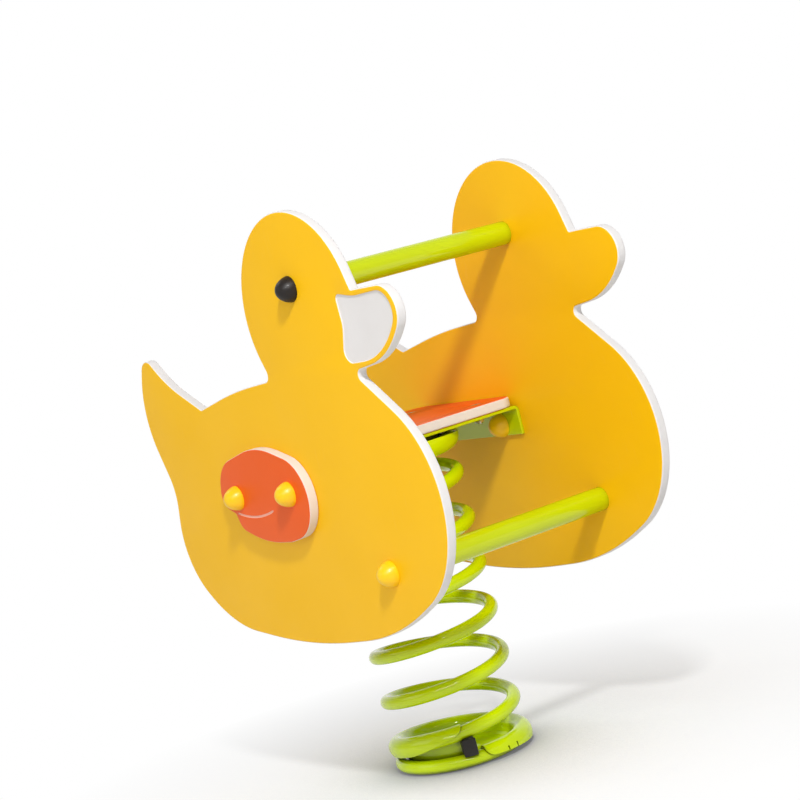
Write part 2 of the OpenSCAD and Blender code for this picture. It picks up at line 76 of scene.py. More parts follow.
FRAME_X = middle("seat_frame", X)
BOLT_Z = middle("frame_bolts", Z)
INNER_Y, OUTER_Y = reach("left_panel", Y)
WING_Y = reach("left_wing", Y)[1]
PANEL_T = OUTER_Y - INNER_Y
WING_T = WING_Y - OUTER_Y
SEAT_LOW, SEAT_TOP = reach("seat_plate", Z)
SEAT_T = SEAT_TOP - SEAT_LOW
SPRING_H = reach("upper_clamp", Z)[1]
# Middles of the bars, seen from the side and measured from the middle of the frame's bolts
HANDLE = (middle("eye_caps", X) - FRAME_X, middle("eye_caps", Z) - BOLT_Z)
FOOT = (middle("foot_caps", X) - FRAME_X, middle("foot_caps", Z) - BOLT_Z)

# Sizes repeated from the CAD source
PANEL_EDGE_R = 3
WING_EDGE_R = 2
SEAT_EDGE_R = 3
SEAT_CORNER_R = 25
SEAT_BOLT_DX, SEAT_BOLT_DY = 170, 250
FRAME_T = 5
BEND_R = 3
BOLT_PITCH = 144
BAR_R, BAR_WALL = 16.85, 2.9
CAP_R, CAP_H, CAP_WALL = 18, 21, 2.5
CAP_CUT = 12  # degrees of the cap's ellipse that lie below its foot
CUP_H = 4
WIRE_R, COIL_R = 10, 90
WIRE_LIFT = 0.5  # gap under the first turn
TURNS, FLAT, RAMP = 8, 0.18, 1
START = 225  # degrees in plan at which the wire starts
CLAMP_T = 4
CLAMP_BOLTS, CLAMP_BOLT_R, CLAMP_BOLT_ANGLE = 4, 55, 22.5
CENTRE_HOLE_R, GROUND_HOLE_R, STUD_HOLE_R = 20, 7, 6.5
BOWL_W, BOWL_H = 9, 12
RIM_START, RIM_SWEEP = 120, 345  # degrees along the wire
STOP_AT, STOP_W, STOP_LIP = 0.3, 20, 4
SEAT_FIT, RIM_FIT = 0.3, 0.6

FRAME_BOLTS = [(-BOLT_PITCH / 2, 0), (BOLT_PITCH / 2, 0)]
SEAT_BOLTS = [(FRAME_X + sx * SEAT_BOLT_DX / 2, sy * SEAT_BOLT_DY / 2) for sx in SIDES for sy in SIDES]

# Outlines, laid as belts round circles (x, y, radius), from the middle of the frame's bolts.
# The belt passes a negative radius on its other side.
DUCK = [(59, 165, -13), (68, -681, 832), (-139, 138, -11), (-78, 374, -248), (-273, 193, 18),
        (-172, 125, 139), (-369, 9, -86), (-185, -62, 110), (-113, 5, 208), (40, 830, 1046),
        (118, 220, 432), (257, -26, 150), (302, 144, -11), (314, 277, 120), (381, 219, 31.5),
        (326, 257, -6), (186, 239, 133)]
POCKET = [(293, 244, 8), (244, 218, -42), (290, 177, 16), (312, 274, 113), (378, 219.5, 27.5),
          (334, 346, -100)]
WING = [(1, -92, 157), (-62, 2, 52), (-94, 4, 21), (-89, -24, -3), (-62, -28, 21), (20, 156, 222),
        (42, -1, 65), (60, -6, 57)]
GROOVE_MID, GROOVE_R = (-31, 155), 184
GROOVE_HALF = 16  # degrees of the groove's arc on each side of its lowest point


# Materials

def srgb(r, g, b):
    """Linear colour for a colour as a picture holds it, 0 to 255."""
    def linear(c):
        c /= 255
        return c / 12.92 if c <= 0.04045 else ((c + 0.055) / 1.055) ** 2.4
    return (linear(r), linear(g), linear(b), 1)


def darker(c, by, warm=0.0):
    """A share of the colour, with more red and less blue where it is warm."""
    return (c[0] * by * (1 + warm), c[1] * by, c[2] * by * (1 - warm), 1)


class Nodes:
    """Short names for making and joining the shader nodes of one material or world."""

    def __init__(self, owner):
        owner.use_nodes = True
        self.tree = owner.node_tree
        self.tree.nodes.clear()

    def add(self, kind, **values):
        node = self.tree.nodes.new(kind)
        for key, value in values.items():
            setattr(node, key, value)
        return node

    def feed(self, socket, value):
        """Links another node's output to the socket, or sets a plain value on it."""
        if isinstance(value, bpy.types.NodeSocket):
            self.tree.links.new(value, socket)
        else:
            socket.default_value = value

    def set(self, node, **inputs):
        """Feeds sockets by their names, in which an underscore stands for a space."""
        for key, value in inputs.items():
            self.feed(node.inputs[key.replace("_", " ")], value)

    def noise(self, vector, scale, detail=3.0, roughness=0.5):
        node = self.add("ShaderNodeTexNoise")
        self.set(node, Vector=vector, Scale=scale, Detail=detail, Roughness=roughness)
        return node.outputs["Fac"]

    def streaks(self, vector, rotation, scale, detail):
        """Noise drawn out into lines."""
        node = self.add("ShaderNodeMapping")
        self.set(node, Vector=vector, Rotation=rotation, Scale=scale)
        return self.noise(node.outputs[0], 1, detail)

    def span(self, value, low, high, to_low, to_high):
        """Maps low to to_low and high to to_high, evenly between them and level outside."""
        node = self.add("ShaderNodeMapRange")
        for i, item in enumerate((value, low, high, to_low, to_high)):
            self.feed(node.inputs[i], item)
        return node.outputs[0]

    def mix(self, factor, a, b):
        """Mixes two colours; the sockets of a colour mix are numbers 0, 6 and 7."""
        node = self.add("ShaderNodeMix", data_type="RGBA")
        for i, item in ((0, factor), (6, a), (7, b)):
            self.feed(node.inputs[i], item)
        return node.outputs[2]

    def math(self, operation, a, b=0.0):
        node = self.add("ShaderNodeMath", operation=operation)
        self.feed(node.inputs[0], a)
        self.feed(node.inputs[1], b)
        return node.outputs[0]

    def bump(self, height, distance, strength, normal=None):
        node = self.add("ShaderNodeBump")
        self.set(node, Height=height, Distance=distance, Strength=strength)
        if normal is not None:
            self.set(node, Normal=normal)
        return node.outputs["Normal"]

    def openness(self, distance, samples):
        """From 0 in a tight gap to 1 in the open, as far as the distance."""
        node = self.add("ShaderNodeAmbientOcclusion", samples=samples)
        self.set(node, Distance=distance)
        return node.outputs["AO"]


def new_material(name, color, metallic=0.0):
    """A material with its node helper, its shader and the place on the piece that its patterns follow."""
    m = bpy.data.materials.new(name)
    m.diffuse_color = color
    t = Nodes(m)
    shader = t.add("ShaderNodeBsdfPrincipled")
    t.set(shader, Metallic=metallic)
    t.set(t.add("ShaderNodeOutputMaterial"), Surface=shader.outputs[0])
    place = t.add("ShaderNodeTexCoord").outputs["Object"]
    return m, t, shader, place


def sheet_skin(name, color):
    """Coloured skin of the plastic sheet: fine leather-like grain, cloudy gloss, faint rubbed marks."""
    m, t, shader, place = new_material(name, color)
    cloud = t.noise(place, 7, 4, 0.55)
    speck = t.noise(place, 900, 2)
    rub = t.span(t.streaks(place, (0.0, 0.5, 0.0), (900.0, 60.0, 30.0), 2), 0.66, 0.8, 0.0, 1.0)
    rubbed_pale = t.math("MULTIPLY", rub, t.span(cloud, 0.5, 0.7, 0.0, 0.10))
    base = t.mix(t.span(cloud, 0.35, 0.75, 0.0, 0.35), color, darker(color, 0.93, 0.02))
    base = t.mix(t.span(speck, 0.62, 0.78, 0.0, 0.12), base, darker(color, 0.86))
    base = t.mix(rubbed_pale, base, (0.9, 0.88, 0.8, 1))
    rough = t.math("ADD", t.span(cloud, 0.3, 0.7, 0.36, 0.46), t.math("MULTIPLY", rub, 0.08))
    normal = t.bump(t.noise(place, 1500, 3, 0.6), 0.00012, 0.35)
    normal = t.bump(t.noise(place, 45, 2), 0.0006, 0.12, normal)
    t.set(shader, Base_Color=base, Roughness=rough, Normal=normal, Specular_IOR_Level=0.2)
    return m


def sheet_core(name, color, across=Y):
    """Pale core where the sheet is cut: faint tool marks across one axis and a little dirt."""
    m, t, shader, place = new_material(name, color)
    cloud = t.noise(place, 18, 5, 0.6)
    dirt = t.span(t.noise(place, 260, 4, 0.7), 0.66, 0.84, 0.0, 0.22)
    base = t.mix(t.span(cloud, 0.4, 0.75, 0.0, 0.5), color, darker(color, 0.94, 0.01))
    base = t.mix(dirt, base, darker(color, 0.72, 0.04))
    xyz = t.add("ShaderNodeSeparateXYZ")
    t.set(xyz, Vector=place)
    lines = t.math("SINE", t.math("MULTIPLY", xyz.outputs[across], 5200.0))
    uneven = t.math("MULTIPLY", lines, t.span(t.noise(place, 90, 2), 0.35, 0.65, 0.1, 1.0))
    normal = t.bump(uneven, 0.00006, 0.5)
    normal = t.bump(t.noise(place, 700, 2), 0.0001, 0.3, normal)
    rough = t.span(cloud, 0.3, 0.7, 0.42, 0.55)
    t.set(shader, Base_Color=base, Roughness=rough, Normal=normal, Specular_IOR_Level=0.25)
    return m


def gloss_paint(name, color, rough, peel, gap_shade):
    """Powder coat: glossy over a slight orange peel, uneven in tone, with painted shade in tight gaps."""
    m, t, shader, place = new_material(name, color)
    cloud = t.noise(place, 14, 3)
    chips = t.span(t.noise(place, 420, 3, 0.6), 0.735, 0.76, 0.0, 0.5)
    # Painted shade: the paint turns dark wherever nearby surfaces close it in, such as under the clamp rim
    # and between the turns
    tight = t.span(t.openness(0.012, 8), 0.3, 0.8, gap_shade, 0.0)
    base = t.mix(t.span(cloud, 0.35, 0.7, 0.0, 0.4), color, darker(color, 0.90, 0.03))
    base = t.mix(chips, base, darker(color, 0.55))
    base = t.mix(tight, base, darker(color, 0.1, 0.2))
    normal = t.bump(t.noise(place, 420, 2), 0.0003, peel)
    roughness = t.span(cloud, 0.3, 0.7, rough, rough + 0.05)
    t.set(shader, Base_Color=base, Roughness=roughness, Normal=normal, Specular_IOR_Level=0.5)
    return m


def gloss_plastic(name, color, rough, coat, gloss):
    """Moulded cap: glossy, with faint flow marks and hairline scratches."""
    m, t, shader, place = new_material(name, color)
    flow = t.noise(place, 60, 4, 0.6)
    hair = t.span(t.streaks(place, (0.4, 0.9, 0.2), (2500.0, 120.0, 120.0), 1), 0.68, 0.78, 0.0, 0.14)
    base = t.mix(t.span(flow, 0.35, 0.75, 0.0, 0.5), color, darker(color, 0.9, 0.03))
    normal = t.bump(t.noise(place, 500, 2), 0.0002, 0.06)
    roughness = t.math("ADD", t.span(flow, 0.3, 0.7, rough, rough + 0.07), hair)
    t.set(shader, Base_Color=base, Roughness=roughness, Normal=normal, Specular_IOR_Level=gloss)
    t.set(shader, Coat_Weight=coat, Coat_Roughness=0.08)
    return m


def rubber(name, color):
    """Black rubber: matt, fine-grained and a little dusty."""
    m, t, shader, place = new_material(name, color)
    cloud = t.noise(place, 120, 4, 0.6)
    base = t.mix(t.span(cloud, 0.5, 0.8, 0.0, 0.35), color, (0.05, 0.045, 0.04, 1))
    normal = t.bump(t.noise(place, 1600, 3, 0.7), 0.0002, 0.5)
    t.set(shader, Base_Color=base, Roughness=t.span(cloud, 0.3, 0.7, 0.62, 0.8), Normal=normal)
    return m


def zinc(name):
    """Zinc-plated steel: cloudy, softly bright, yellowed in places."""
    color = (0.56, 0.57, 0.6, 1)
    m, t, shader, place = new_material(name, color, 1.0)
    cloud = t.noise(place, 140, 5, 0.65)
    base = t.mix(t.span(cloud, 0.35, 0.7, 0.0, 1.0), color, (0.42, 0.43, 0.44, 1))
    base = t.mix(t.span(t.noise(place, 30, 3), 0.5, 0.8, 0.0, 0.35), base, (0.5, 0.47, 0.38, 1))
    normal = t.bump(t.noise(place, 1800, 2), 0.0001, 0.3)
    t.set(shader, Base_Color=base, Roughness=t.span(cloud, 0.3, 0.7, 0.26, 0.42), Normal=normal)
    return m


YELLOW = sheet_skin("yellow_sheet", srgb(250, 193, 6))
RED = sheet_skin("red_sheet", srgb(238, 95, 20))
CORE = sheet_core("white_core", srgb(228, 225, 223))
SEAT_CORE = sheet_core("white_core_seat", srgb(228, 225, 223), across=Z)
WING_CORE = sheet_core("cream_core", srgb(226, 216, 212))
GROOVE_CORE = sheet_core("pale_core", srgb(248, 190, 170))
# The last number of each paint sets how strong its painted shade in tight gaps is
GREEN = gloss_paint("green_paint", srgb(196, 213, 4), rough=0.11, peel=0.07, gap_shade=0.3)
SPRING_GREEN = gloss_paint("spring_green_paint", srgb(202, 228, 0), rough=0.08, peel=0.02, gap_shade=0.85)
CAP_YELLOW = gloss_plastic("yellow_cap", srgb(252, 203, 10), rough=0.3, coat=0.06, gloss=0.4)
CAP_BLACK = gloss_plastic("black_cap", srgb(30, 25, 23), rough=0.4, coat=0.04, gloss=0.3)
STOP_BLACK = rubber("black_rubber", srgb(34, 30, 29))
STEEL = zinc("zinc_steel")


# Mesh helpers

SHARP_ANGLE = 32  # degrees between two faces beyond which their edge looks sharp


@contextmanager
def editing(mesh):
    """Opens a mesh for bmesh tools and writes it back after them."""
    b = bmesh.new()
    b.from_mesh(mesh)
    yield b
    b.to_mesh(mesh)
    b.free()


def make(name, verts, faces, materials, face_mats=None, flat=(), sharp=SHARP_ANGLE):
    """A new object from millimetre points; the faces whose numbers are in flat keep flat shading."""
    mesh = bpy.data.meshes.new(name)
    mesh.from_pydata([(x * MM, y * MM, z * MM) for x, y, z in verts], [], faces)
    for material in materials:
        mesh.materials.append(material)
    for i, polygon in enumerate(mesh.polygons):
        polygon.use_smooth = i not in flat
        if face_mats:
            polygon.material_index = face_mats[i]
    with editing(mesh) as b:
        bmesh.ops.recalc_face_normals(b, faces=b.faces)
    mesh.set_sharp_from_angle(angle=math.radians(sharp))
    obj = bpy.data.objects.new(name, mesh)
    bpy.context.scene.collection.objects.link(obj)
    return obj


def several(name, shapes, materials, sharp=SHARP_ANGLE):
    """One object from several (verts, faces) shapes."""
    verts, faces = [], []
    for shape_verts, shape_faces in shapes:
        first = len(verts)
        verts += shape_verts
        faces += [[first + i for i in face] for face in shape_faces]
    return make(name, verts, faces, materials, sharp=sharp)


def apply_modifiers(obj):
    """Swaps the object's mesh for the one that its modifiers give."""
    bpy.context.view_layer.update()
    depsgraph = bpy.context.evaluated_depsgraph_get()
    result = bpy.data.meshes.new_from_object(obj.evaluated_get(depsgraph))
    obj.modifiers.clear()
    old = obj.data
    obj.data = result
    result.name = old.name
    bpy.data.meshes.remove(old)


def carve(obj, cutter, operation="DIFFERENCE"):
    """Boolean of two closed meshes; the cutter goes away and its materials are kept by their index."""
    mod = obj.modifiers.new("carve", "BOOLEAN")
    mod.operation = operation
    mod.object = cutter
    mod.solver = "EXACT"
    apply_modifiers(obj)
    bpy.data.objects.remove(cutter)


def soften(obj, width):
    """Rounds the edges that are sharper than 40 degrees."""
    mod = obj.modifiers.new("soften", "BEVEL")
    mod.width = width * MM
    mod.segments = 3
    mod.limit_method = "ANGLE"
    mod.angle_limit = math.radians(40)
    mod.harden_normals = True
    apply_modifiers(obj)


def put(obj, body, slot, *stands_for):
    """Makes a piece ride on a body and stand for CAD nodes, which are hidden; the slot is not used."""
    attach(obj, body)
    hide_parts(*stands_for)


def quads(rings, n, first=0, closed=False):
    """Faces between consecutive rings of n points; closed joins the last ring to the first one too."""
    faces = []
    for k in range(rings if closed else rings - 1):
        low = first + k * n
        high = first + (k + 1) % rings * n
        for i in range(n):
            j = (i + 1) % n
            faces.append([low + i, low + j, high + j, high + i])
    return faces


def end_faces(rings, n):
    """The two faces that close a row of rings of n points."""
    return [list(range(n)), list(range((rings - 1) * n, rings * n))]


def lathe(profile, n, place, closed=True):
    """Points and faces of a turned shape; its profile is (radius, height) pairs."""
    angles = [2 * math.pi * k / n for k in range(n)]
    verts = [place(r * math.cos(a), r * math.sin(a), h) for r, h in profile for a in angles]
    return verts, quads(len(profile), n, closed=closed)


# Placers: each gives a function from (a, b, height) of a shape to its place on the rider

def outwards(at, y, side):
    """The height points out of that side; at is measured from the middle of the frame's bolts."""
    return lambda a, b, h: (FRAME_X + at[0] + a, side * (y + h), BOLT_Z + at[1] + b)


def inwards(at, y, side):
    """The height points in from that side."""
    return lambda a, b, h: (FRAME_X + at[0] + a, side * (y - h), BOLT_Z + at[1] + b)


def at_seat(bolt, base=0.0):
    """The height points up at a bolt of the seat."""
    return lambda a, b, h: (bolt[0] + a, bolt[1] + b, base + h)


# Outlines

def run_angle(c, i):
    """Direction of the straight run from circle i to the next one."""
    a, b = c[i], c[(i + 1) % len(c)]
    dx, dy = b[0] - a[0], b[1] - a[1]
    return math.atan2(dy, dx) - math.asin((b[2] - a[2]) / math.hypot(dx, dy))


def belt(c, grow=0.0, tolerance=0.03):
    """Points of a belt round circles, as the CAD source lays it, moved out by grow."""
    points = []
    for i, (x, y, r) in enumerate(c):
        turn = run_angle(c, i) - run_angle(c, i - 1)
        turn = turn % (2 * math.pi) if r > 0 else -((-turn) % (2 * math.pi))
        start = run_angle(c, i) - turn
        steps = max(1, math.ceil(abs(turn) / (2 * math.acos(1 - tolerance / abs(r)))))
        for k in range(steps + 1):
            a = start + turn * k / steps
            points.append((x + (r + grow) * math.sin(a), y - (r + grow) * math.cos(a)))
    return points


def circle(x, y, r, n=48):
    angles = [2 * math.pi * k / n for k in range(n)]
    return [(x + r * math.cos(a), y + r * math.sin(a)) for a in angles]


def inside(p, ring):
    """Whether a point lies inside a ring, by counting the edges to its right."""
    hit = False
    for (x1, y1), (x2, y2) in zip(ring, ring[1:] + ring[:1]):
        if (y1 > p[1]) != (y2 > p[1]) and p[0] < (x2 - x1) * (p[1] - y1) / (y2 - y1) + x1:
            hit = not hit
    return hit


def fill(outer, holes=()):
    """Triangles between an outline and the holes in it, as indices into outer followed by each hole."""
    points, edges = [], []
    for ring in [outer, *holes]:
        first = len(points)
        points += ring
        edges += [(first + i, first + (i + 1) % len(ring)) for i in range(len(ring))]
    co, _, tris, origin, _, _ = delaunay_2d_cdt([Vector(p) for p in points], edges, [], 1, 1e-7)
    found = []
    for tri in tris:
        mid = sum((co[i] for i in tri), Vector((0, 0))) / len(tri)
        if inside(mid, outer) and not any(inside(mid, hole) for hole in holes):
            found.append([origin[i][0] for i in tri])
    return found


# Sheets

SKIN_SLOT, CORE_SLOT, GROOVE_SLOT = 0, 1, 2


def edge_levels(t, edge_r, skin_t):
    """(height, grow) of the rings of a sheet's rounded edges, with a ring where the skin ends."""
    steps = 8
    angles = [math.pi / 2 * k / steps for k in range(steps + 1)]
    angles.append(math.acos(1 - skin_t / edge_r))
    half = [(edge_r * (1 - math.cos(a)), edge_r * math.sin(a)) for a in sorted(angles)]
    return half + [(t - height, grow) for height, grow in reversed(half)]


def plate(name, ring_at, t, edge_r, skin_t, place, materials, pockets=()):
    """A sheet with rounded edges and a coloured skin on both faces.

    ring_at(grow) is its outline. Each pocket in its front face is a list of (ring, depth) from its mouth
    to its floor. The materials are those of the skin and the core.
    """
    def slot_at(depth):
        return SKIN_SLOT if depth < skin_t else CORE_SLOT

    levels = edge_levels(t, edge_r, skin_t)
    rings = [ring_at(grow) for _, grow in levels]
    n = len(rings[0])
    verts = [place(u, v, w) for ring, (w, _) in zip(rings, levels) for u, v in ring]
    walls = quads(len(rings), n)
    wall_slots = []
    for (low, _), (high, _) in zip(levels, levels[1:]):
        mid = (low + high) / 2
        wall_slots += [slot_at(min(mid, t - mid))] * n
    flats = fill(rings[0])
    flat_slots = [SKIN_SLOT] * len(flats)
    front = list(range(len(verts) - n, len(verts)))
    for pocket in pockets:
        mouth = pocket[0][0]
        first = len(verts)
        verts += [place(u, v, t - depth) for ring, depth in pocket for u, v in ring]
        front += range(first, first + len(mouth))
        walls += quads(len(pocket), len(mouth), first)
        for (_, low), (_, high) in zip(pocket, pocket[1:]):
            wall_slots += [slot_at((low + high) / 2)] * len(mouth)
        floor_first = len(verts) - len(mouth)
        floor = [[floor_first + i for i in tri] for tri in fill(pocket[-1][0])]
        flats += floor
        flat_slots += [CORE_SLOT] * len(floor)
    face = [[front[i] for i in tri] for tri in fill(rings[-1], [pocket[0][0] for pocket in pockets])]
    flats += face
    flat_slots += [SKIN_SLOT] * len(face)
    flat = range(len(walls), len(walls) + len(flats))
    return make(name, verts, walls + flats, materials, wall_slots + flat_slots, flat)


# Side panels

PANEL_SKIN = 0.7
# Wall of the beak pocket, (grow, depth): softened mouth, slightly leaning wall, rounded foot
POCKET_WALL = [(0.9, 0.0), (0.45, 0.1), (0.12, 0.4), (0.0, 0.8), (-0.15, 1.3), (-0.4, 1.7), (-0.9, 1.95),
               (-1.5, 2.0)]


def side_panel(side, hand):
    """Yellow sheet in the shape of a duck, with a pocket at the beak in its outer face."""
    pocket = [(belt(POCKET, grow), depth) for grow, depth in POCKET_WALL]
    panel = plate(hand + "_panel_sheet", lambda grow: belt(DUCK, grow), PANEL_T, PANEL_EDGE_R, PANEL_SKIN,
                  outwards((0, 0), INNER_Y, side), [YELLOW, CORE], [pocket])
    put(panel, "rider", "panel_yellow", hand + "_panel")


# Wing plates

WING_SKIN = 0.6
GROOVE_CUT_R = 1.6  # radius of the tube that cuts the groove
GROOVE_CUT_LIFT = 0.1  # height of the tube's middle over the plate
GROOVE_TIP_STEPS, GROOVE_TIP_SQUARE = 2, 4.2  # the square is a little more than that of the steps
FACE_NORMAL = 0.9999  # sideways part of a normal beyond which a face is one of the plate's flat ones


def groove_cutter(place):
    """Tube along the arc of the groove, narrowed to a round tip over its last steps."""
    sides, steps = 16, 48
    verts = []
    for k in range(steps + 1):
        a = math.radians(-90 - GROOVE_HALF + 2 * GROOVE_HALF * k / steps)
        into_tip = max(0, k - steps + GROOVE_TIP_STEPS)
        r = GROOVE_CUT_R * math.sqrt(1 - into_tip ** 2 / GROOVE_TIP_SQUARE)
        for i in range(sides):
            s = 2 * math.pi * i / sides
            out = GROOVE_R + r * math.cos(s)
            verts.append(place(GROOVE_MID[0] + out * math.cos(a), GROOVE_MID[1] + out * math.sin(a),
                               WING_T + GROOVE_CUT_LIFT + r * math.sin(s)))
    faces = quads(steps + 1, sides) + end_faces(steps + 1, sides)
    return make("groove_cutter", verts, faces, [RED, WING_CORE, GROOVE_CORE], [GROOVE_SLOT] * len(faces))


def wing_plate(side, hand):
    """Red plate with a curved groove in its outer face."""
    place = outwards((0, 0), OUTER_Y, side)
    wing = plate(hand + "_wing_plate", lambda grow: belt(WING, grow), WING_T, WING_EDGE_R, WING_SKIN,
                 place, [RED, WING_CORE])
    wing.data.materials.append(GROOVE_CORE)
    carve(wing, groove_cutter(place))
    for face in wing.data.polygons:
        face.use_smooth = abs(face.normal.y) < FACE_NORMAL
    wing.data.set_sharp_from_angle(angle=math.radians(SHARP_ANGLE))
    put(wing, "rider", "wing_red", hand + "_wing")


for side, hand in ((-1, "right"), (1, "left")):
    side_panel(side, hand)
    wing_plate(side, hand)


# Seat

SEAT_SKIN = 0.7
# Countersink for a seat bolt, (radius, depth)
SEAT_SINK = [(9.3, 0.0), (8.8, 0.2), (8.55, 0.5), (4.5, 4.6), (4.4, 6.0)]


def seat_corners():
    """Circles at the corners of the seat, anticlockwise from its front left corner."""
    inset = SEAT_CORNER_R + SEAT_EDGE_R
    back, front = reach("seat_plate", X)
    right, left = reach("seat_plate", Y)
    corners = [(front - inset, left - inset), (back + inset, left - inset),
               (back + inset, right + inset), (front - inset, right + inset)]
    return [(x, y, SEAT_CORNER_R) for x, y in corners]


def seat_sheet():
    """Red sheet with rounded corners and a countersink at each bolt."""
    corners = seat_corners()
    sinks = [[(circle(x, y, r), depth) for r, depth in SEAT_SINK] for x, y in SEAT_BOLTS]
    seat = plate("seat_sheet", lambda grow: belt(corners, grow), SEAT_T, SEAT_EDGE_R, SEAT_SKIN,
                 lambda u, v, w: (u, v, SEAT_LOW + w), [RED, SEAT_CORE], sinks)
    put(seat, "rider", "seat_red", "seat_plate")


seat_sheet()


# Folded frame under the seat

FRAME_SOFT = 1.0  # rounding of its cut edges


def quarter(y, z, r, first):
    """Quarter of a circle, clockwise from the first angle in degrees."""
    steps = 12
    angles = [math.radians(first - 90 * k / steps) for k in range(steps + 1)]
    return [(y + r * math.cos(a), z + r * math.sin(a)) for a in angles]


def frame_section():
    """Outline of the folded sheet seen along X: a top with a flange down each side."""
    low, top = reach("seat_frame", Z)
    fold_r = BEND_R + FRAME_T
    y, z = INNER_Y - fold_r, top - fold_r

    def side_of_sheet(edge, r):
        return [(-edge, low)] + quarter(-y, z, r, 180) + quarter(y, z, r, 90) + [(edge, low)]

    return side_of_sheet(INNER_Y, fold_r) + side_of_sheet(INNER_Y - FRAME_T, BEND_R)[::-1]


def folded_frame():
    """Folded green sheet; the triangles of its two flat ends are joined before its edges are softened."""
    section = frame_section()
    n = len(section)
    verts = [(x, y, z) for x in reach("seat_frame", X) for y, z in section]
    faces = quads(2, n)
    for end in (0, n):
        faces += [[end + i for i in tri] for tri in fill(section)]
    sheet = make("folded_frame", verts, faces, [GREEN])
    with editing(sheet.data) as b:
        bmesh.ops.dissolve_limit(b, angle_limit=0.001, verts=b.verts, edges=b.edges)
    soften(sheet, FRAME_SOFT)
    put(sheet, "rider", "green_paint", "seat_frame")


folded_frame()


# Bars

BAR_GAP = 0.02  # between a bar's end and the panel
BAR_END = [(0.8, 0.0), (0.25, 0.2), (0.0, 0.8)]  # (inset, depth) of the rounding at its ends


def bar(name, at, node):
    """Tube between the panels."""
    steps = 12
    half = INNER_Y - BAR_GAP
    straight = half - BAR_END[-1][1]
    profile = [(BAR_R - inset, depth - half) for inset, depth in BAR_END]
    profile += [(BAR_R, straight * (2 * k / steps - 1)) for k in range(1, steps)]
    profile += [(BAR_R - inset, half - depth) for inset, depth in reversed(BAR_END)]
    profile += [(BAR_R - BAR_WALL, half), (BAR_R - BAR_WALL, -half)]
    verts, faces = lathe(profile, 72, outwards(at, 0, 1))
    put(make(name, verts, faces, [GREEN]), "rider", "green_paint", node)


bar("handle_bar_tube", HANDLE, "handle_bar")
bar("foot_bar_tube", FOOT, "foot_bar")


# Bolt caps

CAP_FOOT = [(0.5, 0.0), (0.15, 0.12)]  # (inset, height) of the rolled foot
CAP_FOOT_H = 0.3
ON_AXIS = 0.001  # radius of the points that are merged into one at the top


def cap_profile():
    """Closed profile of a hollow cap: the top of an ellipse outside, a dome over the cup inside."""
    cut = math.radians(CAP_CUT)
    inner_r = CAP_R - CAP_WALL
    inner_h = CAP_H - CAP_WALL - CUP_H
    steps = 24
    outer = [(CAP_R - inset, h) for inset, h in CAP_FOOT]
    inner = []
    for k in range(steps + 1):
        a = cut + (math.pi / 2 - cut) * k / steps
        h = CAP_H * (math.sin(a) - math.sin(cut)) / (1 - math.sin(cut))
        if h > CAP_FOOT_H:
            outer.append((max(ON_AXIS, CAP_R * math.cos(a) / math.cos(cut)), h))
        a = math.pi / 2 * k / steps
        inner.append((max(ON_AXIS, inner_r * math.cos(a)), CUP_H + inner_h * math.sin(a)))
    return outer + inner[::-1] + [(inner_r, 0.0)]


def caps(name, places, material, slot, node):
    """One piece with a cap at each place."""
    obj = several(name, [lathe(cap_profile(), 64, place) for place in places], [material], sharp=40)
    with editing(obj.data) as b:
        bmesh.ops.remove_doubles(b, verts=b.verts, dist=0.00001)
    put(obj, "rider", slot, node)


eye_places = [outwards(HANDLE, OUTER_Y, side) for side in SIDES]
foot_places = [outwards(FOOT, OUTER_Y, side) for side in SIDES]
wing_places = [outwards(bolt, WING_Y, side) for side in SIDES for bolt in FRAME_BOLTS]
nut_places = [inwards(bolt, INNER_Y - FRAME_T, side) for side in SIDES for bolt in FRAME_BOLTS]
caps("eye_cap_domes", eye_places, CAP_BLACK, "cap_black", "eye_caps")
caps("foot_cap_domes", foot_places, CAP_YELLOW, "cap_yellow", "foot_caps")
caps("wing_cap_domes", wing_places, CAP_YELLOW, "cap_yellow", "wing_caps")
caps("nut_cap_domes", nut_places, CAP_YELLOW, "cap_yellow", "nut_caps")


# Spring

FIRST_Z = WIRE_R + WIRE_LIFT
CLIMBING = TURNS - 2 * FLAT - RAMP
PITCH = (SPRING_H - 2 * FIRST_Z) / CLIMBING
WIRE_CHAMFER = 1.2
WIRE_SIDES, RINGS_PER_TURN = 28, 64
WIRE_SHARP_ANGLE = 35


def climb(t):
    """Height at turn t of the lower half, in pitches: flat at first, then steeper up to the full pitch."""
    if t < FLAT:
        return 0.0
    if t < FLAT + RAMP:
        return (t - FLAT) ** 2 / (2 * RAMP)
    return t - FLAT - RAMP / 2


def wire_z(t):
    """Height of the middle of the wire at turn t."""
    return FIRST_Z + PITCH * (climb(t) if t < TURNS / 2 else CLIMBING - climb(TURNS - t))


def wire_slope(t):
    """Rise of the wire at turn t for each millimetre along the coil."""
    rate = PITCH * max(0, min(1, (min(t, TURNS - t) - FLAT) / RAMP))
    return rate / (2 * math.pi * COIL_R)


def wire_ring(t, r, shift=0.0):
    """Ring across the wire at turn t, moved along the wire by shift."""
    a = math.radians(START + 360 * t)
    slope = math.atan(wire_slope(t))
    out = Vector((math.cos(a), math.sin(a), 0))
    up = Vector((math.sin(a) * math.sin(slope), -math.cos(a) * math.sin(slope), math.cos(slope)))
    along = Vector((-math.sin(a) * math.cos(slope), math.cos(a) * math.cos(slope), math.sin(slope)))
    mid = Vector((COIL_R * math.cos(a), COIL_R * math.sin(a), wire_z(t))) + along * shift
    angles = [2 * math.pi * i / WIRE_SIDES for i in range(WIRE_SIDES)]
    return [tuple(mid + r * (math.cos(s) * out + math.sin(s) * up)) for s in angles]


